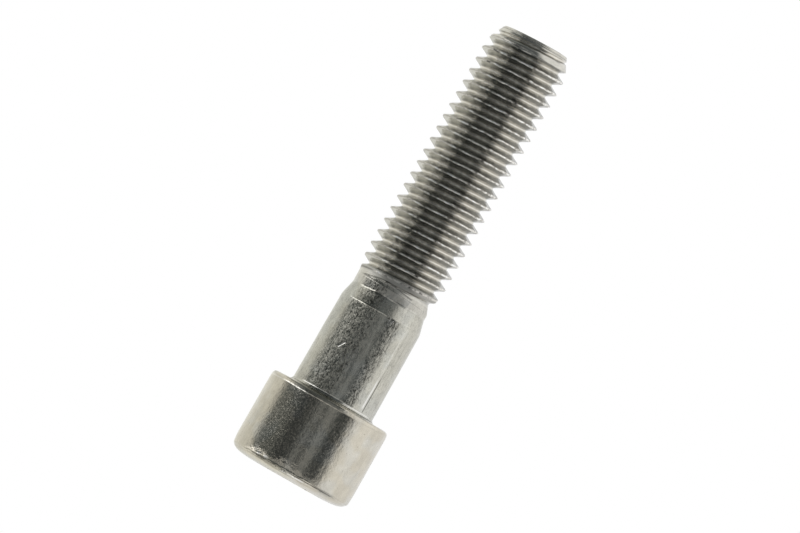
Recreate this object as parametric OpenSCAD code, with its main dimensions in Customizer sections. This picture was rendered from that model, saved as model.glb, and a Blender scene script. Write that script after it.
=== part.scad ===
// Hex socket cap screw, M12 x 1.75 x 55, in one piece.
// The origin is the centre of the bearing face under the head. The shank and the
// thread run up +Z to the point, and the head with its hex socket hangs below.

/* [Head] */
// Diameter of the head
head_d = 17.5; // [17:0.1:18.5]
// Height of the head
head_h = 11.9; // [11:0.1:12.5]
// Height of the rounded band where the side turns in towards the socket end
shoulder_h = 1.1; // [0.9:0.1:1.4]
// How far that band turns in
shoulder_in = 0.4; // [0.3:0.05:0.6]
// Height of the shallow cone between the band and the flat end
crown_h = 0.65; // [0.4:0.05:0.9]
// How far that cone reaches in
crown_in = 1.4; // [1:0.1:1.6]
// Radius of the rim around the bearing face
rim_r = 0.4; // [0.2:0.05:0.6]
// Radius of the fillet between the bearing face and the shank
fillet_r = 0.5; // [0.3:0.05:0.6]

/* [Hex socket] */
// Width across the flats of the socket
socket_af = 10; // [9.8:0.05:10.2]
// Depth of the flats
socket_depth = 6.2; // [5:0.1:7]
// Height of the conical bottom beyond the flats
socket_cone_h = 1.5; // [1:0.1:2]
// Depth of the chamfer that cuts the corners of the mouth
mouth_chamfer = 0.25; // [0.1:0.05:0.4]

/* [Shank] */
// Diameter of the plain shank
shank_d = 11.85; // [11.7:0.05:12]
// Length of the plain shank
shank_l = 13; // [12:0.1:13.5]
// Length of the taper from the shank to the neck
taper_l = 2.5; // [2:0.1:2.8]
// Diameter of the neck, which is the blank that the thread is rolled on
neck_d = 10.75; // [10.6:0.05:10.9]

/* [Thread] */
// Length from the bearing face to the point
screw_l = 55; // [54:0.5:56]
// Pitch of the thread
pitch = 1.75; // [1.7:0.01:1.8]
// Diameter over the crests
crest_d = 11.8; // [11.7:0.05:12]
// Diameter at the roots
root_d = 9.6; // [9.5:0.05:9.85]
// Width of the flat on a crest
crest_w = 0.2; // [0.15:0.05:0.3]
// Height at which the first groove begins
thread_start = 16.95; // [16.9:0.05:17.2]
// Height over which the crests grow to their full size
crest_rise = 3.4; // [2:0.1:5]
// Height over which the groove reaches its full depth
root_fall = 1.15; // [0.8:0.05:2]
// Height of a crest on the +X side, which turns the thread to its place
crest_at_x = 18.49; // [17.6:0.01:19.4]

/* [Point] */
// Diameter where the cone of the point meets the edge of the end face
point_d = 9.4; // [9.2:0.05:9.5]
// Radius that the cone loses along each millimetre
point_slope = 0.5; // [0.45:0.01:0.55]
// Length of the cone that is clear of the thread
point_l = 0.45; // [0.3:0.05:0.6]
// Radius of the edge of the end face
point_edge_r = 0.4; // [0.3:0.05:0.5]

/* [Hidden] */
$fn = 96;

head_r = head_d / 2;
shank_r = shank_d / 2;
neck_r = neck_d / 2;
crest_r = crest_d / 2;
root_r = root_d / 2;
point_r = point_d / 2;
socket_r = socket_af / 2 / cos(30);
socket_tip_r = 0.4;
shoulder_bow = 0.12;
arc_steps = 6;
over = 1;       // how far a solid runs on into its neighbour

// The thread's own solid ends inside the neck and inside the point, this far in.
inset = 0.02;
neck_end = thread_start - 0.05;
cone_end = screw_l - point_edge_r;
point_start = cone_end - point_l;

// The thread is a strip wound around the axis, with four points across a pitch:
// both edges of the crest, then both edges of the root. The flanks lean 30 degrees.
around = 40;
flank = (crest_r - root_r) * tan(30);
root_w = pitch - crest_w - 2 * flank;
across = [-crest_w, crest_w, pitch - root_w, pitch + root_w] / 2;
strip_z = crest_at_x - pitch * ceil((crest_at_x - neck_end) / pitch + 1.1);
turns = ceil((point_start - strip_z) / pitch) + 1;
last_row = around * turns;
squeeze = (screw_l - point_start) / pitch / 3;

function ramp(x, a, b) = min(1, max(0, (x - a) / (b - a)));
function mix(a, b, t) = a + (b - a) * t;

// Radius of the cone of the point, at a height.
function cone_r(z) = point_r + point_slope * (cone_end - z);

// Radius of the crests or of the roots, at a height.
function crest_at(z) = mix(neck_r - inset, crest_r, ramp(z, thread_start, thread_start + crest_rise));
function root_at(z) = mix(neck_r - inset, root_r, ramp(z, thread_start, thread_start + root_fall));
function thread_r(z, on_crest) = min(on_crest ? crest_at(z) : root_at(z), cone_r(z));

// Past the start of the point the last turns are squeezed together inside it.
function strip_height(z) = z < point_start ? z : mix(point_start, z, squeeze);
function strip_r(z, on_crest) =
    z < point_start ? thread_r(z, on_crest) : min(thread_r(z, on_crest), point_r) - 2 * inset;

function strip_point(row, j) =
    let (turn = row / around,
         z = strip_height(strip_z + turn * pitch + across[j]),
         r = strip_r(z, j < 2))
    [r * cos(360 * turn), r * sin(360 * turn), z];

// Index of a point of the strip. The one after a row's last is the first of the row a turn on.
function at(row, j) = j < 4 ? 4 * row + j : 4 * (row + around);

// Points along a quarter circle, from its start angle.
function quarter(x, y, r, start) =
    [for (i = [0 : arc_steps])
        let (a = start - 90 * i / arc_steps)
        [x + r * cos(a), y + r * sin(a)]];

// The band that turns in from the side of the head.
function shoulder() =
    [for (i = [0 : arc_steps])
        let (t = i / arc_steps)
        [head_r - shoulder_in * t * t - shoulder_bow * t * (1 - t),
         crown_h + shoulder_h * (1 - t) - head_h]];

module head() {
    rotate_extrude()
        polygon(concat(
            [[0, 0]],
            quarter(head_r - rim_r, -rim_r, rim_r, 90),
            shoulder(),
            [[head_r - shoulder_in - crown_in, -head_h], [0, -head_h]]));
}

module socket() {
    translate([0, 0, -head_h - over])
        cylinder(h = socket_depth + over, r = socket_r, $fn = 6);
    translate([0, 0, -head_h + socket_depth - inset])
        cylinder(h = socket_cone_h, r1 = socket_af / 2, r2 = socket_tip_r);
    translate([0, 0, -head_h - over])
        cylinder(h = over + mouth_chamfer, r1 = socket_r + over, r2 = socket_r - mouth_chamfer);
}

// Fillet, plain shank, taper and neck.
module shank() {
    rotate_extrude()
        polygon(concat(
            [[0, -over], [shank_r + fillet_r, -over]],
            quarter(shank_r + fillet_r, fillet_r, fillet_r, 270),
            [[shank_r, shank_l], [neck_r, shank_l + taper_l], [neck_r, neck_end], [0, neck_end]]));
}

module thread() {
    low = 4 * (last_row + 1);
    high = low + 1;
    strip = [for (row = [0 : last_row], j = [0 : 3]) strip_point(row, j)];
    ends = [[0, 0, strip_z + pitch / 2],
            [0, 0, strip_height(strip_z + (turns - 0.5) * pitch)]];
    sides = [for (row = [0 : last_row - 1], j = [0 : 3])
        if (j < 3 || row + around < last_row)
            each [[at(row, j), at(row, j + 1), at(row + 1, j + 1)],
                  [at(row, j), at(row + 1, j + 1), at(row + 1, j)]]];
    bottom = concat(
        [for (row = [0 : around - 1]) [low, at(row, 0), at(row + 1, 0)]],
        [for (j = [0 : 3]) [low, at(0, j + 1), at(0, j)]]);
    top = concat(
        [for (row = [last_row - around : last_row - 1]) [high, at(row + 1, 3), at(row, 3)]],
        [[high, at(last_row - around, 3), at(last_row, 0)]],
        [for (j = [0 : 2]) [high, at(last_row, j), at(last_row, j + 1)]]);
    polyhedron(points = concat(strip, ends), faces = concat(sides, bottom, top), convexity = 10);
}

module point() {
    rotate_extrude()
        polygon(concat(
            [[0, screw_l]],
            quarter(point_r - point_edge_r, cone_end, point_edge_r, 90),
            [[cone_r(point_start), point_start], [0, point_start]]));
}

module cap_screw() {
    color([0.72, 0.71, 0.68]) {
        difference() {
            head();
            socket();
        }
        shank();
        thread();
        point();
    }
}

cap_screw();
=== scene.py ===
import math

import bmesh
import bpy
from mathutils import Matrix, Vector, noise


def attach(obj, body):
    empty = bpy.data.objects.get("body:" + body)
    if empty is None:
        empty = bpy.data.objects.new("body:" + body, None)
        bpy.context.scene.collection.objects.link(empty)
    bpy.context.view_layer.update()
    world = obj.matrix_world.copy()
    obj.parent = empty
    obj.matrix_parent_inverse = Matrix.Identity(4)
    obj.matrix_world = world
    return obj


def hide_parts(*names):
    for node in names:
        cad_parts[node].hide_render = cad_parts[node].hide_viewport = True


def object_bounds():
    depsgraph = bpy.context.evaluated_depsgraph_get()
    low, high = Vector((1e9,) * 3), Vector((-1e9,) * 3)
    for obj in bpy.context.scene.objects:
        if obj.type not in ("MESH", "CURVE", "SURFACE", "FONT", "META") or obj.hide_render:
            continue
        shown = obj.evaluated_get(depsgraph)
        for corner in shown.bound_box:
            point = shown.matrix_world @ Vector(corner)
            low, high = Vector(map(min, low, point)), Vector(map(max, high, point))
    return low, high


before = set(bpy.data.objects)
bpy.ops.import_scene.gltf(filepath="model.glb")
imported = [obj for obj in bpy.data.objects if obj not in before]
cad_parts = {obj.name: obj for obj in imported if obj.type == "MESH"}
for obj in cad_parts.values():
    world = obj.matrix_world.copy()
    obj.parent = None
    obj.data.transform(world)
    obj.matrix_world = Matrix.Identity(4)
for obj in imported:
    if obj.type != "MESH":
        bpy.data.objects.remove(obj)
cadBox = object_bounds()
mm = 0.001
fullTurn = 2 * math.pi


# A node's output. Python operators on it add the Math nodes.
class Wire:
    def __init__(self, graph, socket):
        self.graph = graph
        self.socket = socket

    def maths(self, operation, *others):
        return self.graph.maths(operation, self, *others)

    def output(self, name):
        return Wire(self.graph, self.socket.node.outputs[name])

    def __add__(self, other):
        return self.maths("ADD", other)

    def __sub__(self, other):
        return self.maths("SUBTRACT", other)

    def __rsub__(self, other):
        return self.graph.maths("SUBTRACT", other, self)

    def __mul__(self, other):
        return self.maths("MULTIPLY", other)

    def __truediv__(self, other):
        return self.maths("DIVIDE", other)

    def __rtruediv__(self, other):
        return self.graph.maths("DIVIDE", other, self)

    def __pow__(self, other):
        return self.maths("POWER", other)

    def __abs__(self):
        return self.maths("ABSOLUTE")

    __radd__ = __add__
    __rmul__ = __mul__

    def clip(self):
        return self.maths("MAXIMUM", 0.0).maths("MINIMUM", 1.0)

    # 0 before low, 1 past high, eased in between; the other way round where low is above high.
    def ease(self, low, high):
        return self.graph.node(
            "ShaderNodeMapRange",
            {"interpolation_type": "SMOOTHSTEP"},
            {"Value": self, "From Min": low, "From Max": high})

    # 1 in the middle of a stripe of that width, 0 outside it.
    def stripe(self, middle, width):
        return abs(self - middle).ease(width / 2, 0.0)


# A node tree. Its node() adds any node: the settings first, then the sockets' values or links.
class Graph:
    def __init__(self, tree):
        self.tree = tree

    def node(self, kind, settings=None, sockets=None, out=0):
        made = self.tree.nodes.new(kind)
        for name, value in (settings or {}).items():
            if name == "stops":
                self.setStops(made.color_ramp, value)
            else:
                setattr(made, name, value)
        for name, value in (sockets or {}).items():
            if isinstance(value, Wire):
                self.tree.links.new(value.socket, made.inputs[name])
            else:
                made.inputs[name].default_value = value
        return Wire(self, made.outputs[out]) if made.outputs else None

    def setStops(self, ramp, stops):
        while len(ramp.elements) < len(stops):
            ramp.elements.new(1.0)
        for element, (position, colour) in zip(ramp.elements, stops):
            element.position = position
            element.color = (*colour, 1.0)

    def maths(self, operation, *values):
        return self.node("ShaderNodeMath", {"operation": operation}, dict(enumerate(values)))

    def blend(self, factor, first, second, kind="MIX"):
        return self.node(
            "ShaderNodeMix",
            {"data_type": "RGBA", "blend_type": kind, "clamp_factor": True},
            {0: factor, 6: first, 7: second}, out=2)

    def scaled(self, vector, factor):
        return self.node("ShaderNodeVectorMath", {"operation": "SCALE"}, {0: vector, "Scale": factor})

    def split(self, vector):
        x = self.node("ShaderNodeSeparateXYZ", sockets={0: vector})
        return x, x.output("Y"), x.output("Z")

    def join(self, x, y, z):
        return self.node("ShaderNodeCombineXYZ", sockets={0: x, 1: y, 2: z})

    # Noise around 0.
    def speckle(self, vector, scale, detail=2.0, rough=0.5):
        return self.node(
            "ShaderNodeTexNoise",
            sockets={"Vector": vector, "Scale": scale, "Detail": detail, "Roughness": rough}) - 0.5


# From first to second by a factor, for numbers and for wires.
def mix(first, second, factor):
    return first + (second - first) * factor


# A material with an empty tree.
def newMaterial(name):
    material = bpy.data.materials.new(name)
    material.use_nodes = True
    material.node_tree.nodes.clear()
    return material, Graph(material.node_tree)


view = {
    "fieldWidth": 105.79,      # what the long side of the picture takes in, in mm
    "centre": (-0.92, 19.98),  # what is in the middle of the picture: across and up, in mm
    "lean": 29.66,             # how far the screw's tip leans to the right, in degrees
    "upward": 1.7,             # how far the camera looks up at the screw, in degrees
    "distance": 1400.0,        # in mm
}


def makeCamera():
    camera = bpy.data.objects.new("camera", bpy.data.cameras.new("camera"))
    bpy.context.scene.collection.objects.link(camera)
    camera.data.lens = camera.data.sensor_width * view["distance"] / view["fieldWidth"]
    camera.data.clip_start = 0.01
    lean, upward = math.radians(view["lean"]), math.radians(view["upward"])
    level = Vector((1, 0, 0))
    upright = Vector((0, -math.sin(upward), math.cos(upward)))
    right = level * math.cos(lean) + upright * math.sin(lean)
    up = upright * math.cos(lean) - level * math.sin(lean)
    back = right.cross(up)
    across, height = view["centre"]
    place = (Vector((across, 0, height)) + back * view["distance"]) * mm
    camera.matrix_world = Matrix.Translation(place) @ Matrix((right, up, back)).transposed().to_4x4()
    bpy.context.scene.camera = camera


makeCamera()
print("camera: set beside the screw and leaned")

# The rolled thread. Heights and radii in mm from the bearing face and the axis.
thread = {
    "Columns": 138,           # points around one turn
    "Turns": 23,
    "Rows": 20,               # points across one pitch
    "Crowding": 0.62,         # how much the rows crowd together at crest and root
    "Pitch": 1.75,
    "Crest At X": 18.365,     # height of a crest on the +X side
    "Crest Radius": 5.9,
    "Crest Width": 0.14,
    "Root Radius": 4.71,
    "Neck Radius": 5.385,
    "Rise Start": 16.6,       # where the crests start to stand proud of the neck
    "Rise End": 20.3,
    "Groove Start": 16.6,     # height of the groove's middle where it starts to bite
    "Groove End": 17.85,
    "Lead Slope": 0.39,       # the first groove leans in from the neck at this slope
    "Lead End": 17.5,
    "Lead Fade": 0.7,
    "Fade Start": 51.6,       # the last crests are not filled out
    "Fade End": 52.9,
    "Fade": 0.36,
    "Fold": 0.05,             # depth of the fold along the last crests
    "Fold Start": 50.4,
    "Fold End": 52.2,
    "Point Radius": 4.62,     # of the cone at its upper end
    "Point Slope": 0.55,
    "Point Shift": -0.05,     # how far the cone is cut off centre
    "Cone End": 54.6,
    "Crest Rounding": 0.11,
    "First Rounding": 0.03,   # of the low first crest
    "First Start": 17.1,
    "First End": 18.4,
    "Root Rounding": 0.045,
    "Cone Rounding": 0.05,
    "Wear": 0.14,             # how ragged the crests are
    "Wear Start": 17.5,
    "Wear End": 19.5,
    "Wander": 0.12,           # how far the crests and roots stray
    "Stray": 0.3,             # how much further the crests stray on their own
    "Stray Start": 17.6,
    "Stray End": 19.0,
    "Seed": 3.0,
}
# The strip starts at the middle of a groove, so its rows run along crest and root.
threadBottom = thread["Crest At X"] - 1.5 * thread["Pitch"]
threadTop = threadBottom + (thread["Turns"] - 1) * thread["Pitch"]


def threadTree():
    tree = bpy.data.node_groups.new("rolledThread", "GeometryNodeTree")
    tree.interface.new_socket(name="Geometry", in_out="OUTPUT", socket_type="NodeSocketGeometry")
    for name, value in thread.items():
        kind = "NodeSocketInt" if isinstance(value, int) else "NodeSocketFloat"
        tree.interface.new_socket(name=name, in_out="INPUT", socket_type=kind)
    tree.interface.new_socket(name="Finish", in_out="INPUT", socket_type="NodeSocketMaterial")
    g = Graph(tree)
    given = g.node("NodeGroupInput").output
    columns, turns, pitch = given("Columns"), given("Turns"), given("Pitch")
    crestRadius, rootRadius, neckRadius = given("Crest Radius"), given("Root Radius"), given("Neck Radius")

    # A flat grid, long side along the helix, is wound up and welded to itself turn by turn.
    count = columns * turns
    grid = g.node("GeometryNodeMeshGrid", sockets={
        "Size X": 1.0, "Size Y": 1.0,
        "Vertices X": count + 1, "Vertices Y": given("Rows") + 1})
    x, y, _ = g.split(g.node("GeometryNodeInputPosition"))
    column = ((x + 0.5) * count).maths("ROUND")
    turn = (column / columns + 0.00001).maths("FLOOR")
    along = (column - turn * columns) / columns
    across = y + 0.5
    across = across - given("Crowding") * (across * (2 * fullTurn)).maths("SINE") / (2 * fullTurn)
    start = given("Crest At X") - 1.5 * pitch
    low = start + pitch * (turn + along - 1).maths("MAXIMUM", 0.0)
    high = start + pitch * (turn + along).maths("MINIMUM", turns - 1)
    height = mix(low, high, across)

    angle = along * fullTurn
    cosine, sine = angle.maths("COSINE"), angle.maths("SINE")
    rolled = g.join(cosine * crestRadius, sine * crestRadius, height * 0.4)    # noise is drawn out upwards

    def grain(scale, detail, seed):
        return g.node("ShaderNodeTexNoise", {"noise_dimensions": "4D"}, {
            "Vector": rolled, "W": given("Seed") + seed, "Scale": scale, "Detail": detail}) - 0.5

    ragged = grain(2.2, 3.0, 0.0) * given("Wear") * height.ease(given("Wear Start"), given("Wear End"))
    wander = grain(0.9, 2.0, 5.0) * given("Wander")

    # Distance from the middle of the groove, up positive, and that middle's height.
    place = (height + wander - given("Crest At X")) / pitch - along - 0.5
    away = (place - place.maths("ROUND")) * pitch
    away = away + grain(2.0, 3.0, 9.0) * given("Stray") * abs(away).ease(0.35, 0.75) \
        * height.ease(given("Stray Start"), given("Stray End"))
    middle = height - away
    lean = math.sqrt(3)       # the flanks lean 30 degrees
    flat = pitch / 2 - given("Crest Width") / 2 - (crestRadius - rootRadius) / lean

    # Radius in the groove whose middle is at that height, that far away from the middle.
    def groove(middle, away):
        bottom = mix(neckRadius, rootRadius, middle.ease(given("Groove Start"), given("Groove End")))
        full = middle.ease(given("Lead End"), given("Lead End") + given("Lead Fade"))
        above = (away - flat) * lean
        below = (0.0 - away - flat) * mix(given("Lead Slope"), lean, full)
        return (bottom + above.maths("MAXIMUM", below)).maths("SMOOTH_MAX", bottom, given("Root Rounding"))

    radius = groove(middle, away).maths("MINIMUM", groove(middle + pitch, away - pitch))
    fold = height.ease(given("Fold Start"), given("Fold End")) * (abs(away) - pitch / 2).stripe(-0.02, 0.2)
    crest = mix(neckRadius, crestRadius, height.ease(given("Rise Start"), given("Rise End"))) + ragged \
        - given("Fade") * height.ease(given("Fade Start"), given("Fade End")) - given("Fold") * fold
    soft = mix(given("First Rounding"), given("Crest Rounding"),
               height.ease(given("First Start"), given("First End")))
    radius = radius.maths("SMOOTH_MIN", crest, soft)
    cone = given("Point Radius") + given("Point Slope") * (given("Cone End") - height) \
        - given("Point Shift") * cosine
    radius = radius.maths("SMOOTH_MIN", cone, given("Cone Rounding"))

    wound = g.node("GeometryNodeSetPosition", sockets={
        "Geometry": grid, "Position": g.join(radius * cosine, radius * sine, height)})
    welded = g.node("GeometryNodeMergeByDistance", sockets={"Geometry": wound, "Distance": 0.0001})
    real = g.node("GeometryNodeRealizeInstances", sockets={0: welded})
    shown = g.node("GeometryNodeSetMaterial", sockets={"Geometry": real, "Material": given("Finish")})
    g.node("NodeGroupOutput", sockets={"Geometry": shown})
    return tree


def makeThread(finish):
    carrier = bpy.data.objects.new("threadCarrier", bpy.data.meshes.new("threadCarrier"))
    bpy.context.scene.collection.objects.link(carrier)
    winder = carrier.modifiers.new("rolledThread", "NODES")
    winder.node_group = threadTree()
    for item in winder.node_group.interface.items_tree:
        if item.in_out == "INPUT":
            winder[item.identifier] = finish if item.name == "Finish" else thread[item.name]
    seen = carrier.evaluated_get(bpy.context.evaluated_depsgraph_get())
    mesh = bpy.data.meshes.new_from_object(seen)
    carrier.modifiers.clear()
    bpy.data.objects.remove(carrier)
    return mesh


# Head, shank and point, in mm. The bearing face is at height 0.
body = {
    "headColumns": 276,
    "headRadius": 8.735,
    "headHeight": 11.9,
    "sideDraft": 0.04,        # how much narrower the head is at the bearing face
    "rimWidth": 0.44,
    "rimHeight": 0.7,
    "shoulderStart": 9.6,     # depth at which the side starts to turn in to the socket end
    "filletRadius": 0.55,
    "shankRadius": 5.97,
    "shankTop": 5.88,         # radius at the upper end of the shank
    "taperStart": 13.32,
    "taperEnd": 15.33,
    "endHeight": 54.77,
    "endTilt": 0.033,         # the end face is not quite square: rise per mm across
    "socketFlats": 10.0,
    "socketDepth": 6.2,
    "socketCone": 1.5,
    "socketTip": 0.4,         # radius at the bottom of the cone
    "chamferEdge": 0.04,      # height of the chamfer's outer edge over the end of the head
    "chamferSlope": 0.5,
    "wallStart": 0.04,        # how far past the chamfer the flats begin
    "wallSteps": 6,           # rings up the flats of the socket
    "sharpAngle": 35,         # the socket's edges over this many degrees stay sharp
    # how far the turned faces are off true, and how far their edges stray up and down
    "headDents": 0.008,
    "shoulderDents": 0.035,
    "shankDents": 0.01,
    "taperStray": (0.05, 0.03),
    "taperHump": (-1.5, 1.2, 0.2),      # one hump in the taper's upper lip: across, width, height
    "shoulderStray": (0.1, 0.05),
    "rimStray": 0.03,
}


# Corners (radius, height, rounding) become a line of points with arcs at the corners.
def rounded(corners, steps):
    line = []
    for k, (r, z, size) in enumerate(corners):
        here = Vector((r, z))
        if size == 0 or k in (0, len(corners) - 1):
            line.append((r, z))
            continue
        before = (Vector(corners[k - 1][:2]) - here).normalized()
        after = (Vector(corners[k + 1][:2]) - here).normalized()
        first, last = here + before * size, here + after * size
        for i in range(steps + 1):
            t = i / steps
            bow = first.lerp(here, t).lerp(here.lerp(last, t), t)
            line.append(tuple(bow))
    return line


# Long straight stretches get points between, no further apart than the gap.
def filled(line, gap):
    out = [line[0]]
    for (r0, z0), (r1, z1) in zip(line, line[1:]):
        pieces = max(1, math.ceil(math.hypot(r1 - r0, z1 - z0) / gap))
        out += [(r0 + (r1 - r0) * i / pieces, z0 + (z1 - z0) * i / pieces)
                for i in range(1, pieces + 1)]
    return out


# The outlines that are turned around the axis, from the thread down.
def shankLine():
    neck, top, low = thread["Neck Radius"], body["shankTop"], body["shankRadius"]
    start, end, fillet = body["taperStart"], body["taperEnd"], body["filletRadius"]
    corners = [
        (neck, threadBottom - 0.02, 0),
        (neck - 0.012, end + 0.2, 0),
        # upper lip of the taper
        (neck - 0.012, end + 0.09, 0.03),
        (neck + 0.006, end - 0.1, 0.04),
        (neck + 0.045, end - 0.28, 0.06),
        (neck + 0.15, end - 0.75, 0.3),
        # its lower lip
        (top - 0.016, start + 0.02, 0.03),
        (top - 0.003, start - 0.13, 0.03),
        (top, start - 0.25, 0),
        # a fine step, then the fillet
        (low, fillet + 0.22, 0),
        (low, fillet + 0.12, 0.02),
        (low + 0.013, fillet - 0.04, 0.03),
        (low + 0.1, fillet * 0.5, 0.1),
        (low + 0.24, fillet * 0.2, 0.12),
        (low + 0.5, 0.0, 0.12),
        (low + 0.9, 0.0, 0)]
    return filled(rounded(corners, steps=3), gap=0.7)


def headLine():
    r, h = body["headRadius"], body["headHeight"]
    top, wide, tall = r - body["sideDraft"], body["rimWidth"], body["rimHeight"]
    rim = rounded([
        (top - wide - 0.4, -0.02, 0),
        (top - wide, -0.03, 0.1),
        (top - wide * 0.4, -tall * 0.2, 0.1),
        (top - wide * 0.12, -tall * 0.58, 0.12),
        (top - 0.009, -tall + 0.04, 0.03),
        (top, -tall - 0.07, 0.03),
        (top + 0.001, -tall - 0.2, 0)], steps=3)
    # Down the side, which turns in over a fine crease to the flat end.
    turnIn = (r, -body["shoulderStart"])
    side = filled([rim[-1], turnIn], gap=1.3)
    shoulder = filled(rounded([
        (*turnIn, 0),
        (r - 0.012, -10.2, 0.3),
        (r - 0.08, -10.86, 0.06),
        (r - 0.16, -10.99, 0.05),
        (r - 0.27, -11.09, 0.03),
        (r - 0.34, -11.13, 0.03),
        (r - 0.5, -11.34, 0.08),
        (r - 0.82, -11.54, 0.12),
        (r - 1.24, -11.69, 0.15),
        (r - 2.0, -11.82, 0.2),
        (r - 2.85, -h + 0.02, 0)], steps=2), gap=0.26)
    return rim + side[1:] + shoulder[1:]


# The cone's worn edge and the end face, from the thread up.
def tipLine():
    end = body["endHeight"]
    return rounded([
        (4.88, threadTop, 0),
        (4.83, 54.33, 0.02),
        (4.75, 54.36, 0.02),
        (4.77, 54.43, 0.02),
        (4.72, 54.5, 0.02),
        (4.65, 54.53, 0.02),
        (4.67, 54.6, 0.02),
        (4.63, 54.68, 0.02),
        (4.55, end - 0.03, 0.04),
        (4.3, end, 0.1),
        (2.2, end - 0.03, 0.3),
        (0.3, end - 0.04, 0)], steps=2)[1:]


# Radius of a hexagon in a direction.
def hexRadius(angle, flats):
    inside = (math.degrees(angle) % 60) - 30
    return flats / 2 / math.cos(math.radians(inside))


# 1 between two heights and 0 outside them, reached over the first and the last stretch.
def within(z, low, high, first, last):
    return max(0.0, min(1.0, (z - low) / first, (high - z) / last))


# How far the surface stands off its outline.
def dent(x, y, z):
    here = Vector((x, y, z))
    out = 0.0
    if z < 0:
        out += body["headDents"] * (noise.noise(here * 0.3) - 0.3)
    shoulder = noise.noise(here * 0.5) + 0.5 * noise.noise(here * 1.2) - 0.3
    out += body["shoulderDents"] * within(z, -11.15, -9.3, 0.3, 0.8) * shoulder
    shank = noise.noise(Vector((x, y, z * 0.5)) * 0.6)
    out += body["shankDents"] * within(z, 0.6, 15.6, 2, 0.5) * shank
    return min(out, 0.0) if z < -0.6 else out


# How far it strays along the axis.
def slip(x, y, z):
    def stray(layer, scale):
        return noise.noise(Vector((x, y, layer)) * scale)

    onTaper = within(z, 12.4, 15.7, 0.8, 0.35)
    onShoulder = within(z, -11.6, -9.6, 0.35, 0.8)
    onRim = within(z, -1.2, 0.9, 0.6, 0.4)
    coarse, fine = body["taperStray"]
    taper = coarse * stray(3, 0.5) + fine * stray(9, 1.3)
    if y < 0:
        across, width, height = body["taperHump"]
        taper += height * math.exp(-((x - across) / width) ** 2) * min(1, max(0, z - 14.2))
    coarse, fine = body["shoulderStray"]
    shoulder = coarse * stray(5, 0.45) + fine * stray(1, 1.2)
    return onTaper * taper + onShoulder * shoulder + onRim * body["rimStray"] * stray(7, 0.7)


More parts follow.
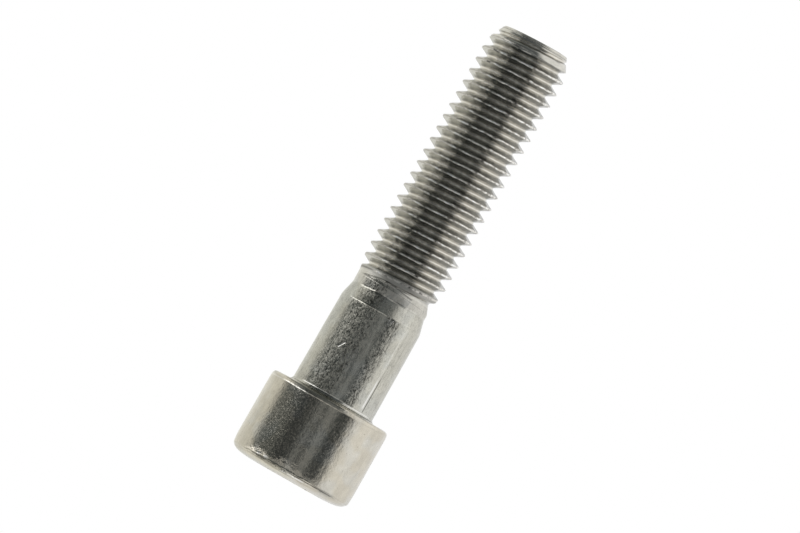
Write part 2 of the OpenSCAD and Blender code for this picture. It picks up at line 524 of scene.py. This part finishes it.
def makeBody(mesh, finish):
    bm = bmesh.new()
    bm.from_mesh(mesh)
    few, many = thread["Columns"], body["headColumns"]

    def loopAt(height):
        found = [None] * few
        for v in bm.verts:
            if abs(v.co.z - height) < 0.001 and v.is_boundary:
                found[round(math.atan2(v.co.y, v.co.x) / fullTurn * few) % few] = v
        assert all(found), "the thread's end is not one closed loop"
        return found

    def ring(count, radiusAt, heightAt):
        out = []
        for i in range(count):
            a = fullTurn * i / count
            r, z = radiusAt(a), heightAt(a)
            out.append(bm.verts.new((r * math.cos(a), r * math.sin(a), z)))
        return out

    def turned(count, r, z):
        out = []
        for i in range(count):
            a = fullTurn * i / count
            x, y = r * math.cos(a), r * math.sin(a)
            k = 1 + dent(x, y, z) / r
            out.append(bm.verts.new((x * k, y * k, z + slip(x, y, z))))
        return out

    # Faces between two rings. The lower one may have twice as many points.
    def skin(upper, lower):
        n = len(lower)
        if len(upper) == n:
            for i in range(n):
                bm.faces.new((upper[i], lower[i], lower[(i + 1) % n], upper[(i + 1) % n]))
            return
        for i, v in enumerate(upper):
            w = upper[(i + 1) % len(upper)]
            a, b, c = (lower[(2 * i + k) % n] for k in range(3))
            for face in ((v, a, b), (v, b, w), (w, b, c)):
                bm.faces.new(face)

    def close(last, height, upward):
        tip = bm.verts.new((0, 0, height))
        for i, a in enumerate(last):
            b = last[(i + 1) % len(last)]
            bm.faces.new((a, b, tip) if upward else (b, a, tip))

    # Down from the thread: neck, taper, shank, fillet, bearing face and head.
    last = loopAt(threadBottom)
    for count, line in ((few, shankLine()), (many, headLine())):
        for r, z in line:
            now = turned(count, r, z)
            skin(last, now)
            last = now

    # The socket: its chamfered mouth, six flats and coned bottom.
    endZ, flats = -body["headHeight"], body["socketFlats"]
    floorZ = endZ + body["socketDepth"]
    coneZ = floorZ + body["socketCone"]
    corner = flats / 2 / math.cos(math.radians(30))
    mouth = corner + 0.02

    def flatRadius(a):
        return hexRadius(a, flats)

    # The chamfer is a cone, so it runs higher in the middle of each flat.
    def chamferZ(a):
        return endZ + (mouth - flatRadius(a)) * body["chamferSlope"] + body["chamferEdge"]

    def wallZ(a, part):
        return mix(chamferZ(a) + body["wallStart"], floorZ, part)

    rims = [
        (lambda a: mouth, lambda a: endZ + 0.02),
        (lambda a: flatRadius(a) + 0.03, lambda a: chamferZ(a) - 0.01)]
    for k in range(body["wallSteps"] + 1):
        rims.append((flatRadius, lambda a, part=k / body["wallSteps"]: wallZ(a, part)))
    rims += [
        (lambda a: min(flatRadius(a), flats / 2) - 0.02, lambda a: floorZ + 0.01),
        (lambda a: flats / 4, lambda a: (floorZ + coneZ) / 2),
        (lambda a: body["socketTip"], lambda a: coneZ)]
    for radiusAt, heightAt in rims:
        now = ring(many, radiusAt, heightAt)
        skin(last, now)
        last = now
    close(last, coneZ, upward=False)

    # Up from the thread: the rest of the cone, its edge and the end face, cut off centre and tilted.
    last = loopAt(threadTop)
    line = tipLine()
    for r, z in line:
        shift = thread["Point Shift"] * min(1, r / 4)
        tilt = body["endTilt"] * (z - threadTop) / (body["endHeight"] - threadTop)
        now = ring(few, lambda a: r - shift * math.cos(a), lambda a: z + tilt * r * math.cos(a))
        skin(now, last)
        last = now
    close(last, line[-1][1], upward=True)

    bmesh.ops.recalc_face_normals(bm, faces=bm.faces)
    for v in bm.verts:
        v.co *= mm
    for face in bm.faces:
        face.smooth = True
        face.material_index = 0
    for edge in bm.edges:
        inSocket = edge.verts[0].co.z < (floorZ + 2) * mm \
            and max(v.co.xy.length for v in edge.verts) < (corner + 0.1) * mm
        if inSocket and edge.calc_face_angle(0) > math.radians(body["sharpAngle"]):
            edge.smooth = False
    bm.to_mesh(mesh)
    openEdges = sum(not e.is_manifold for e in bm.edges)
    print(f"mesh: {sum(len(f.verts) - 2 for f in bm.faces)} triangles, {openEdges} open edges,"
          f" volume {bm.calc_volume() * 1e9:.0f} mm3")
    bm.free()
    mesh.materials.clear()
    mesh.materials.append(finish)
    return mesh


# Stainless steel. Colours are those of a straight-on reflection. Places are in mm, and the
# marks are on the front: x across, z up.
steel = {
    "head": (0.675, 0.632, 0.535),
    "shank": (0.61, 0.595, 0.525),
    "neck": (0.72, 0.7, 0.635),
    # crest and root are painted lighter than the rest, as painted highlights along them
    "crest": (0.84, 0.81, 0.75),
    "root": (0.78, 0.75, 0.68),
    "upperFlank": (0.42, 0.415, 0.385),   # painted shade: the flanks are darker, the upper one more than the lower
    "lowerFlank": (0.475, 0.465, 0.43),
    "coolPatch": (0.985, 1.015, 1.07),    # what some patches are tinted with
    "brightAndHighlights": (0.92, 0.91, 0.88),         # of the bright marks and the painted highlights
    "darkest": 0.15,                      # marks and patterns leave at least this much of the tone
    "headRough": 0.11,
    "shankRough": 0.18,
    "neckRough": 0.4,                     # and burnished on the one side
    "neckShine": 0.17,
    "flankRough": 0.09,
    "crestRough": 0.13,
    "edgeRough": 0.08,                    # burnished edges of the taper, the fillet and the rim
    "markRough": 0.15,                    # how much rougher a dark mark is
    "haze": 0.09,                         # how much rougher the dull specks are
    "shankHaze": 0.2,
    # how much each pattern changes the brightness
    "grain": 0.32,
    "drawn": (0.2, 0.4),                  # all over, and more on the shank
    "streaks": 0.5,
    "squiggles": 0.6,
    "clouds": (0.22, 0.22, 0.2),          # all over, and more on the head and on the shank
    # how deep each pattern is in the surface
    "mottleDepth": 0.012,
    "waveDepth": 0.04,
    "cellDepth": 0.018,
    "nibbleDepth": 0.03,
    "curlDepth": (0.03, 0.044),           # on the head and on the shank
    "scratchDepth": 0.018,
    "seamDepth": 0.01,
    # straight strokes: width, then where each one starts and ends
    "scratch": (0.3, [((-2.9, 6.55), (-2.16, 7.7))]),    # the long bright one on the shank
    "crestNicks": (0.36, [((-4.5, 50.95), (-3.4, 50.85)), ((-4.5, 49.1), (-3.8, 49.2))]),
    "darkNicks": (0.17, [
        ((0.85, 13.28), (1.08, 13.4)), ((1.12, 12.95), (1.28, 13.4)), ((1.5, 12.85), (1.64, 13.42)),
        ((1.3, 11.95), (1.52, 12.3)), ((2.05, 12.95), (2.16, 13.32))]),
    "brightNicks": (0.15, [
        ((1.7, 12.55), (2.0, 13.28)), ((2.33, 12.8), (2.62, 13.32)), ((1.3, 12.7), (1.42, 13.15))]),
    "runOut": (0.36, [((-1.65, 17.22), (0.2, 17.2))]),   # painted shade where the first groove ends in the neck
    # and painted shade along its end
    "runOutEnd": (0.24, [((0.0, 17.1), (2.7, 16.7))]),
    # painted dark reflection lines and painted highlights by the fillet: height, width, and from where to
    # where across
    "filletDarkReflections": [(0.41, 0.12, -3.8, 0.3), (0.17, 0.14, 0.8, 6.2)],
    "filletHighlights": [(0.57, 0.16, -4.8, -0.3), (0.45, 0.24, 1.0, 5.6)],
    "seam": 4.1,                          # where the drawn wire's seam runs down the shank
    "creaseHeight": -11.06,               # the painted shade line around the socket end of the head
    # height of the painted glints just below it
    "crownGlintHeight": -11.26,
    # how strong each kind of mark, painted shade and painted highlight is
    "darkMarksAndShade": {
        "crease": 0.9, "lip": 0.5, "turnedLine": 0.5, "crestNicks": 0.7, "seam": 0.75, "fillet": 0.6,
        "pits": 0.3, "nickField": 0.4, "nicks": 0.7, "runOut": 0.75, "runOutEnd": 0.6},
    "brightMarksAndHighlights": {
        "hair": 0.25, "scratch": 1.0, "fillet": 0.7, "flash": 1.0, "rubbed": 0.7, "gleam": 1.0,
        "nickField": 0.3, "nicks": 0.8, "rim": 0.4},
}


def steelFinish():
    material, g = newMaterial("stainlessSteel")
    place = g.scaled(g.node("ShaderNodeTexCoord").output("Object"), 1 / mm)
    x, y, z = g.split(place)
    front = y.ease(0.5, -0.5)
    outward = (x * x + y * y) ** 0.5
    rootRadius, crestRadius = thread["Root Radius"], thread["Crest Radius"]
    lipStart, lipEnd = body["taperStart"], body["taperEnd"]

    def colour(name):
        return steel[name] + (1,)

    # A straight mark from one point (x, z) to another.
    def stroke(start, end, width):
        (x0, z0), (x1, z1) = start, end
        length = math.hypot(x1 - x0, z1 - z0)
        ux, uz = (x1 - x0) / length, (z1 - z0) / length
        fromX, fromZ = x - (x0 + x1) / 2, z - (z0 + z1) / 2
        beside = fromX * uz - fromZ * ux
        along = fromX * ux + fromZ * uz
        return beside.stripe(0.0, width) * abs(along).ease(length / 2, length / 2 - 0.2) * front

    def strokes(name, wider=1):
        width, ends = steel[name]
        return sum(stroke(start, end, width * wider) for start, end in ends)

    def traces(name):
        return sum(z.stripe(height, width) * x.ease(first, first + 0.6) * x.ease(last, last - 0.6) * front
                   for height, width, first, last in steel[name])

    def added(marks, strengths):
        return sum(marks[name] * strength for name, strength in strengths.items())

    # Distance from the nearest crest of the thread, up positive.
    turns = (z - thread["Crest At X"]) / thread["Pitch"] - y.maths("ARCTAN2", x) / fullTurn
    off = (turns - turns.maths("ROUND")) * thread["Pitch"]

    # Which part of the screw a point is on, each from 0 to 1.
    onHead = z.ease(0.1, -0.1)
    onThread = z.ease(17.0, 17.5) * z.ease(54.5, 54.2)
    offThread = 1 - onThread
    onShank = (1 - onHead) * z.ease(17.2, 16.8)
    coneRadius = thread["Point Radius"] + thread["Point Slope"] * (thread["Cone End"] - z) \
        - thread["Point Shift"] * x / outward
    onCone = z.ease(52.5, 52.9) * (outward - coneRadius).ease(-0.1, -0.04)
    onRoot = onThread * outward.ease(rootRadius + 0.14, rootRadius + 0.05)
    onCrest = onThread * (1 - onCone) \
        * abs(off).ease(0.16, 0.09).maths("MAXIMUM", outward.ease(crestRadius - 0.14, crestRadius - 0.07))
    onFlank = onThread * (1 - onCone) \
        * abs(off).ease(0.09, 0.17) * outward.ease(rootRadius + 0.05, rootRadius + 0.14)
    lowCrest = z.ease(18.8, 18.2) * outward.ease(5.3, 5.42) * onThread      # the first one, not filled out
    overTaper = z.ease(lipEnd - 0.13, lipEnd + 0.27)
    edges = z.stripe(lipStart, 0.5) + z.stripe(lipEnd, 0.7) + z.stripe(0.4, 0.8) \
        + z.stripe(-body["rimHeight"], 0.4)

    fine = g.speckle(place, 4.2, 1.0)
    mottle = g.speckle(place, 1.3, 3.0, 0.6)
    clouds = g.speckle(place, 0.6, 3.0, 0.6)
    patches = g.speckle(place, 0.28)
    cells = g.speckle(g.join(x, y, z * 0.35), 2.0, 2.0, 0.6)
    drawn = g.speckle(g.join(x, y, z * 0.06), 2.3, 3.0, 0.65)                # along the axis
    streaks = g.speckle(g.join(x, y, z * 0.4 + off * 6.0), 1.1, 3.0, 0.6)    # along the helix
    # The shank is worked most left of the middle and in a stripe on its right.
    frayed = x + mottle * 2.0
    leftWork = frayed.ease(0.1, -0.8) * x.ease(-4.4, -3.4)
    rightWork = frayed.ease(1.1, 1.7) * frayed.ease(3.3, 2.6) * z.ease(13.6, 13.2)
    busy = 0.3 + 0.7 * (leftWork + rightWork)

    flankTone = g.blend(off.ease(-0.1, 0.1), colour("lowerFlank"), colour("upperFlank"))
    tone = g.blend(onShank, colour("head"), colour("shank"))
    tone = g.blend(overTaper, tone, colour("neck"))
    tone = g.blend(onThread, tone, colour("crest"))
    tone = g.blend(onFlank, tone, flankTone)
    tone = g.blend(onRoot, tone, colour("root"))
    tone = g.blend(onCone, tone, colour("neck"))
    cool = g.blend(1.0, tone, colour("coolPatch"), "MULTIPLY")
    tone = g.blend(patches.ease(-0.02, 0.14) * (onHead + onShank * 0.6), tone, cool)

    # Darker and brighter places, as a factor on the tone: first what is drawn or tumbled all over.
    shade = 1 + (fine * busy + mottle * 0.5) * steel["grain"] * (1 - onThread * 0.7)
    allOver, onShankToo = steel["drawn"]
    shade = shade + drawn * (allOver + onShank * onShankToo * z.ease(14.2, 13.2)) * offThread
    shade = shade + streaks * steel["streaks"] * onThread
    shade = shade - abs(cells).ease(0.04, 0.01) * onShank * busy * steel["squiggles"]
    allOver, onHeadToo, onShankToo = steel["clouds"]
    shade = shade + clouds * (allOver + onHead * onHeadToo + onShank * onShankToo) * offThread
    # Painted light: two lighter bands down the shank, where its reflection is dark.
    paintedLightBands = onShank * z.ease(13.3, 12.9) * abs(abs(x) - 1.7).ease(0.9, 0.3)
    shade = shade + paintedLightBands * 0.14
    # Painted highlights on the crests in broken lines, stronger left of the middle, with painted shade in
    # gaps on both sides of the middle and on the low first crest.
    broken = (g.speckle(place, 1.5, 4.0, 0.8) * 5.0).maths("MINIMUM", 0.25).maths("MAXIMUM", -0.6)
    crestShadeGaps = (x.stripe(-2.0, 0.8) * 0.45 + x.stripe(1.6, 0.9) * 0.6) * front
    crestHighlightLeft = x.stripe(-2.9, 1.4) * 0.4 * front
    shade = shade + onCrest * (0.08 + broken * x.ease(-4.0, -3.0) - crestShadeGaps + crestHighlightLeft - lowCrest * 0.25)
    # Painted light and shade on the flanks: lighter on the left and in the middle, and painted shade deep in
    # the groove.
    shadeDeepMiddle = x.ease(-2.6, -1.8) * outward.ease(5.4, 4.95) * 0.42
    shadeDeepLeft = x.ease(-1.9, -2.5) * outward.ease(5.35, 5.0) * (0.35 + x.stripe(-2.7, 1.6) * 0.15)
    shade = shade + onFlank * (x.ease(2.0, 0.8) * (0.3 - shadeDeepMiddle) - shadeDeepLeft)
    # Painted light and shade on the far left: the flanks lighter and the crests darker.
    farLeft = onThread * (x + mottle).ease(-3.2, -4.2)
    shade = shade + farLeft * (onFlank * 0.12 - onCrest * 0.42)

    scratch = strokes("scratch")
    besideScratch = strokes("scratch", wider=3) * 2
    brightNicks = strokes("brightNicks")
    wavy = z + mottle * 0.16
    seam = x.stripe(steel["seam"] + 0.16, 0.2) * (0.3 * z.ease(8.8, 8.0) + 0.7 * z.ease(5.9, 5.2)) \
        * z.ease(0.5, 0.8) * front
    nickField = x.stripe(1.6, 2.4).ease(0.05, 0.4) * z.ease(11.6, 12.4) * z.ease(13.4, 13.3) * front
    nicks = g.speckle(g.join(x * 2.4 - z * 0.8, y, z * 0.7 + x * 0.3), 1.7, 4.0, 0.7)
    # Real dark marks together with painted shade.
    dark = added({
        # painted shade in the crease around the socket end of the head
        "crease": wavy.stripe(steel["creaseHeight"], 0.26) * (0.65 + 0.35 * mottle.ease(-0.1, 0.04))
        * abs(x - 0.4).ease(6.6, 5.4),
        # painted shadow along the start of the groove, and a painted dark line above it
        "lip": outward.stripe(5.345, 0.05) * z.ease(17.6, 17.3) * z.ease(16.1, 16.4)
        + off.stripe(-0.64, 0.4) * z.ease(17.55, 17.4) * z.ease(17.1, 17.2) * outward.ease(5.1, 5.2),
        "turnedLine": (z - x * 0.025).stripe(54.37, 0.14),      # painted shade in the groove around the point, by its edge
        "crestNicks": strokes("crestNicks"),
        "seam": seam,
        # painted dark reflection lines by the fillet
        "fillet": traces("filletDarkReflections"),
        "pits": g.speckle(place, 2.1, 2.0, 0.7).ease(0.16, 0.22) * offThread,
        "nickField": nickField * nicks.ease(-0.01, -0.06),
        "nicks": strokes("darkNicks"),
        # painted shade where the first groove ends in the neck, and along its end
        "runOut": strokes("runOut"),
        "runOutEnd": strokes("runOutEnd"),
    }, steel["darkMarksAndShade"])
    # Real bright marks together with painted highlights.
    brightAndHighlights = added({
        "hair": abs(g.speckle(place, 0.9, 1.0)).ease(0.007, 0.0)
        * g.speckle(place, 0.55, 1.0).ease(0.07, 0.12) * offThread,
        "scratch": scratch,
        # painted highlights by the fillet
        "fillet": traces("filletHighlights"),
        # painted glints on the crown below the crease
        "flash": wavy.stripe(steel["crownGlintHeight"], 0.24) * mottle.ease(-0.06, 0.02)
        * abs(x - 0.6).ease(3.6, 2.4) * front,
        # a painted highlight on the shoulder, on the left
        "rubbed": z.stripe(-10.72, 0.6).ease(0.0, 0.5) * abs(x + 4.9).ease(1.6, 1.0) * cells.ease(-0.02, 0.05)
        * front,
        # a painted highlight beside the seam
        "gleam": x.stripe(steel["seam"] - 0.1, 0.3) * (0.2 + 0.8 * z.ease(5.6, 4.6)) * z.ease(0.8, 1.4)
        * z.ease(13.2, 12.0) * onShank * front,
        "nickField": nickField * nicks.ease(0.04, 0.1),
        "nicks": brightNicks,
        # a painted highlight along the rim, on the left
        "rim": z.stripe(-body["rimHeight"] + 0.05, 0.3) * x.ease(-1.5, -3.5),
    }, steel["brightMarksAndHighlights"])
    shade = (shade * (1 - dark)).maths("MAXIMUM", steel["darkest"])
    shaded = g.blend(brightAndHighlights.clip(), g.scaled(tone, shade), colour("brightAndHighlights"))

    stretch = g.join(x, y, z * (1 - onShank * 0.45))
    dull = g.speckle(stretch, 3.6 + onShank * 1.2, 2.0, 0.6).ease(-0.08, 0.1)
    burnished = (x + mottle).ease(-1.0, -2.2) * front
    neckRough = mix(steel["neckRough"], steel["neckShine"], burnished)
    roughness = steel["headRough"] + onShank * (steel["shankRough"] - steel["headRough"]) \
        + onThread * (steel["flankRough"] - steel["headRough"]) \
        + onShank * overTaper * (neckRough - steel["shankRough"]) \
        - (onCrest + onCone) * (steel["flankRough"] - steel["crestRough"]) \
        + dull * mix(steel["haze"], steel["shankHaze"], onShank * busy * (1 - overTaper))
    roughness = mix(roughness, steel["neckRough"], lowCrest)
    roughness = mix(roughness, steel["edgeRough"], edges.clip())
    roughness = roughness + dark * steel["markRough"] + brightNicks * 0.2
    roughness = mix(roughness, steel["edgeRough"], scratch)

    # The surface itself, in mm up and down.
    smooth = 1 - (edges + besideScratch).clip()
    headCurls, shankCurls = steel["curlDepth"]
    curls = g.speckle(g.join(x, y, z * (0.8 - onShank * 0.25)), 2.4, 2.0, 0.6) * smooth
    nibbles = g.speckle(place, 3.0, 2.0, 0.7) * onCrest * (1 + x.stripe(-2.8, 1.6)) * x.ease(-4.0, -3.0)
    height = mottle * steel["mottleDepth"] * offThread * (1 - scratch) \
        + g.speckle(place, 0.3, 1.0) * steel["waveDepth"] * offThread \
        + cells * steel["cellDepth"] * onShank * (1 - besideScratch.clip()) \
        + curls * (onHead * headCurls + onShank * busy * shankCurls) \
        + nibbles * steel["nibbleDepth"] - scratch * steel["scratchDepth"] - seam * steel["seamDepth"]
    bump = g.node("ShaderNodeBump", sockets={"Strength": 1.0, "Distance": 0.001, "Height": height})
    shader = g.node("ShaderNodeBsdfPrincipled", sockets={
        "Base Color": shaded, "Metallic": 1.0, "Roughness": roughness, "Normal": bump})
    g.node("ShaderNodeOutputMaterial", sockets={"Surface": shader})
    return material


finish = steelFinish()
screw = bpy.data.objects.new("capScrew", makeBody(makeThread(finish), finish))
bpy.context.scene.collection.objects.link(screw)
print("screw: thread wound, head and point joined on")

# Floor and studio: pale walls with dark boards, as steel needs to show its shape.
studio = {
    "floorRadius": 0.4,
    "floorTone": 0.85,
    "floorGlow": 0.45,        # seen by the camera alone
    # Brightness of the surroundings by the compass, in degrees from the front, right positive.
    "level": [
        (-180, .9), (-150, .87), (-130, .75), (-108, .7), (-101, .58), (-95, .36), (-88, .15),
        (-70, .115), (-50, .08), (-44, .05), (-30, .045), (-22, .055), (-15, .1), (-9, .21),
        (-2, .06), (6, .17), (10, .25), (16, .18), (24, .09), (31, .05), (38, .055), (44, .12),
        (50, .33), (56, .62), (66, .89), (90, .94), (110, .86), (130, .85), (180, .85)],
    # Bands above and below the horizon: height where each starts, where it is full, its brightness.
    "above": [
        (7, 9, [
            (-180, .7), (-108, .7), (-98, 1.6), (-54, 1.6), (-46, .3), (-34, .36), (-12, .45),
            (6, .45), (20, .34), (34, .3), (42, .3), (50, .45), (60, .8), (180, .8)]),
        (14, 17, [
            (-180, .85), (-110, .8), (-90, .5), (-75, .3), (-62, .13), (-50, .045), (-34, .05),
            (-26, .065), (-16, .11), (-4, .12), (5, .165), (10, .16), (18, .13), (29, .3),
            (38, .6), (52, .78), (64, .93), (90, .96), (180, .85)]),
        (34, 42, [
            (-180, .2), (-110, .2), (-70, .1), (-45, .08), (32, .1), (44, .6), (60, .9),
            (110, .85), (150, .4), (180, .2)]),
        (62, 76, [
            (-180, .15), (-70, .1), (30, .15), (60, .6), (110, .5), (150, .2), (180, .15)])],
    "below": [
        (7, 9, [
            (-180, .7), (-108, .8), (-98, 1.4), (-66, 1.3), (-46, .3), (-34, .36), (-12, .45),
            (6, .45), (20, .34), (34, .3), (50, .4), (60, .8), (70, .9), (180, .8)]),
        (14, 17, [
            (-180, .8), (-110, .75), (-90, .65), (-60, .45), (-48, .15), (30, .1), (42, .3),
            (60, .7), (100, .8), (180, .8)]),
        (26, 34, [
            (-180, .9), (-130, .8), (-110, .3), (-70, .15), (-45, .1), (30, .1), (50, .35),
            (90, .45), (130, .8), (180, .9)]),
        (54, 60, [
            (-180, .6), (-80, .5), (-60, .9), (-48, .1), (-30, .06), (-22, 1.3), (20, 1.3),
            (26, .06), (40, .1), (50, .9), (100, .8), (180, .7)]),
        (74, 82, [(-180, .9), (180, .9)])],
    "tintBelow": 0.35,        # surroundings darker than this are a little cool
    "cool": (0.12, 0.06),     # less red and more blue
    "warm": 0.95,             # blue of the light from the left
}


def makeStudio():
    world = bpy.data.worlds.new("studio")
    bpy.context.scene.world = world
    world.use_nodes = True
    world.node_tree.nodes.clear()
    g = Graph(world.node_tree)
    x, y, z = g.split(g.node("ShaderNodeTexCoord").output("Generated"))
    compass = x.maths("ARCTAN2", 0.0 - y) / fullTurn + 0.5
    rise = z.maths("ARCSINE") * (180 / math.pi)

    # The dark boards are a little cool, and the light from the left a little warm.
    def tinted(angle, value):
        lessRed, moreBlue = studio["cool"]
        dark = max(0.0, 1 - value / studio["tintBelow"])
        warm = studio["warm"] if angle < -45 and value < 1 else 1.0
        return value * (1 - lessRed * dark), value, value * (1 + moreBlue * dark) * warm

    def painted(levels):
        stops = [((a + 180) / 360, tinted(a, v)) for a, v in levels]
        return g.node("ShaderNodeValToRGB", {"stops": stops}, {0: compass})

    colour = painted(studio["level"])
    for side, sign in (("above", 1), ("below", -1)):
        for low, high, levels in studio[side]:
            colour = g.blend((rise * sign).ease(low, high), colour, painted(levels))
    seen = g.node("ShaderNodeLightPath")
    colour = g.blend(seen.output("Is Camera Ray"), colour, (1, 1, 1, 1))
    light = g.node("ShaderNodeBackground", sockets={"Color": colour, "Strength": 1.0})
    g.node("ShaderNodeOutputWorld", sockets={"Surface": light})


# The camera sees the floor, shadow and all. Reflections and the view from underneath don't.
def floorFinish():
    material, g = newMaterial("paleFloor")
    path = g.node("ShaderNodeLightPath")
    tone = (studio["floorTone"],) * 3 + (1,)
    matt = g.node("ShaderNodeBsdfDiffuse", sockets={"Color": tone})
    glow = g.node("ShaderNodeEmission", sockets={
        "Strength": path.output("Is Camera Ray") * studio["floorGlow"]})
    both = g.node("ShaderNodeAddShader", sockets={0: matt, 1: glow})
    clear = g.node("ShaderNodeBsdfTransparent")
    unseen = path.output("Is Glossy Ray").maths("MAXIMUM", path.output("Is Transmission Ray"))
    underneath = g.node("ShaderNodeNewGeometry").output("Backfacing")
    shown = g.node("ShaderNodeMixShader", sockets={
        0: unseen.maths("MAXIMUM", underneath), 1: both, 2: clear})
    g.node("ShaderNodeOutputMaterial", sockets={"Surface": shown})
    return material


def makeFloor():
    bm = bmesh.new()
    bmesh.ops.create_circle(bm, cap_ends=True, segments=96, radius=studio["floorRadius"])
    for v in bm.verts:
        v.co.z += cadBox[0].z
    mesh = bpy.data.meshes.new("floor")
    bm.to_mesh(mesh)
    bm.free()
    mesh.materials.append(floorFinish())
    floor = bpy.data.objects.new("floor", mesh)
    bpy.context.scene.collection.objects.link(floor)


makeStudio()
makeFloor()
bpy.context.scene.view_settings.view_transform = "Standard"
print("studio: floor and surroundings made")

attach(screw, "root")
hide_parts("cap_screw")
